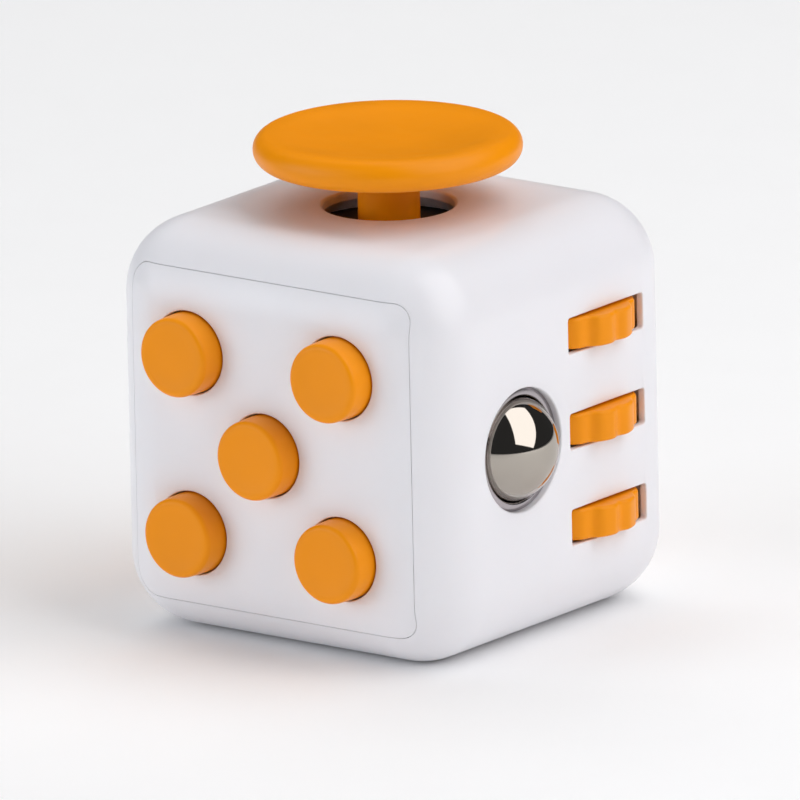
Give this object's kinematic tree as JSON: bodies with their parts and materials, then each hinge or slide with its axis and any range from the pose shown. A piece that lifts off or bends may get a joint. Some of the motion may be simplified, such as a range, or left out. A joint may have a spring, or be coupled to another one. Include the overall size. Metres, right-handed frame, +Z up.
{
  "type": "fidget cube",
  "caption": "Rounded desk fidget cube with push buttons, a gliding thumb disc, scroll wheels with a push-in ball, a rocker, a spinning dial and a thumb dish.",
  "frame": {"origin": "centre of the underside of the cube body, under the centre of the disc", "axes": "+Z up through the gliding disc, -Y out of the push-button face, +X out of the scroll-wheel and ball face"},
  "size_m": [0.0375, 0.0374, 0.0389],
  "materials": {
    "white_abs": "white ABS, satin gloss",
    "orange_abs": "orange ABS, semi-gloss",
    "grey_acetal": "natural grey acetal",
    "black_acetal": "black acetal",
    "steel": "plain bright steel",
    "polished_steel": "mirror-polished steel",
    "silicone": "matte silicone rubber"
  },
  "bodies": {
    "housing": {"body_shell": "white_abs", "click_plate": "white_abs", "flip_plate": "white_abs", "switch_carrier": "grey_acetal", "switch_carrier_screws": "steel", "snap_dome_top_left": "steel", "rubber_dome_top_right": "silicone", "snap_dome_centre": "steel", "rubber_dome_bottom_left": "silicone", "snap_dome_bottom_right": "steel", "glide_pan": "grey_acetal", "glide_pan_screws": "steel", "centring_web": "silicone", "wheel_axle": "steel", "axle_spacers": "steel", "detent_spring": "steel", "roll_bracket": "grey_acetal", "roll_bracket_screws": "steel", "ball_retaining_ring": "steel", "ball_return_spring": "steel", "ball_snap_dome": "steel", "rocker_pin": "steel", "detent_bracket": "grey_acetal", "detent_bracket_screws": "steel", "dial_wave_washer": "steel"},
    "button_top_left": {"button_top_left": "orange_abs"},
    "button_top_right": {"button_top_right": "orange_abs"},
    "button_centre": {"button_centre": "orange_abs"},
    "button_bottom_left": {"button_bottom_left": "orange_abs"},
    "button_bottom_right": {"button_bottom_right": "orange_abs"},
    "glide_carriage": {"glide_carriage": "black_acetal"},
    "joystick": {"joystick_cap": "orange_abs", "joystick_slider": "black_acetal", "joystick_screw": "steel"},
    "wheel_top": {"wheel_top": "orange_abs"},
    "wheel_middle": {"wheel_middle": "orange_abs"},
    "wheel_bottom": {"wheel_bottom": "orange_abs"},
    "ball_carrier": {"ball_cup": "black_acetal"},
    "ball": {"steel_ball": "polished_steel"},
    "rocker": {"rocker_switch": "orange_abs", "rocker_plunger": "steel", "plunger_spring": "steel"},
    "dial": {"dial": "orange_abs", "dial_screw": "steel", "dial_washer": "steel"}
  },
  "joints": [
    {"name": "button_top_left_press", "type": "slide", "parent": "housing", "child": "button_top_left", "axis": [0, 1, 0], "range_m": [0, 0.0006], "stiffness_N_per_m": 900, "deforming": ["snap_dome_top_left"]},
    {"name": "button_top_right_press", "type": "slide", "parent": "housing", "child": "button_top_right", "axis": [0, 1, 0], "range_m": [0, 0.0006], "stiffness_N_per_m": 900, "deforming": ["rubber_dome_top_right"]},
    {"name": "button_centre_press", "type": "slide", "parent": "housing", "child": "button_centre", "axis": [0, 1, 0], "range_m": [0, 0.0006], "stiffness_N_per_m": 900, "deforming": ["snap_dome_centre"]},
    {"name": "button_bottom_left_press", "type": "slide", "parent": "housing", "child": "button_bottom_left", "axis": [0, 1, 0], "range_m": [0, 0.0006], "stiffness_N_per_m": 900, "deforming": ["rubber_dome_bottom_left"]},
    {"name": "button_bottom_right_press", "type": "slide", "parent": "housing", "child": "button_bottom_right", "axis": [0, 1, 0], "range_m": [0, 0.0006], "stiffness_N_per_m": 900, "deforming": ["snap_dome_bottom_right"]},
    {"name": "disc_glide_x", "type": "slide", "parent": "housing", "child": "glide_carriage", "axis": [1, 0, 0], "range_m": [-0.0019, 0.0019], "stiffness_N_per_m": 250, "deforming": ["centring_web"]},
    {"name": "disc_glide_y", "type": "slide", "parent": "glide_carriage", "child": "joystick", "axis": [0, 1, 0], "range_m": [-0.0019, 0.0019], "stiffness_N_per_m": 250, "deforming": ["centring_web"]},
    {"name": "wheel_top_roll", "type": "hinge", "parent": "housing", "child": "wheel_top", "pos_m": [0.0121, 0.006, 0.02424], "axis": [0, 0, 1], "continuous": true},
    {"name": "wheel_middle_roll", "type": "hinge", "parent": "housing", "child": "wheel_middle", "pos_m": [0.0121, 0.006, 0.0165], "axis": [0, 0, 1], "continuous": true},
    {"name": "wheel_bottom_roll", "type": "hinge", "parent": "housing", "child": "wheel_bottom", "pos_m": [0.0121, 0.006, 0.00876], "axis": [0, 0, 1], "continuous": true},
    {"name": "ball_click", "type": "slide", "parent": "housing", "child": "ball_carrier", "axis": [-1, 0, 0], "range_m": [0, 0.0006], "stiffness_N_per_m": 900, "deforming": ["ball_return_spring", "ball_snap_dome"]},
    {"name": "ball_roll", "type": "hinge", "parent": "ball_carrier", "child": "ball", "pos_m": [0.0145, -0.00505, 0.0165], "axis": [0, 0, 1], "continuous": true},
    {"name": "rocker_flip", "type": "hinge", "parent": "housing", "child": "rocker", "pos_m": [0, 0.0134, 0.0165], "axis": [1, 0, 0], "range_deg": [-18, 0]},
    {"name": "dial_spin", "type": "hinge", "parent": "housing", "child": "dial", "pos_m": [-0.0165, 0, 0.0165], "axis": [1, 0, 0], "continuous": true}
  ]
}
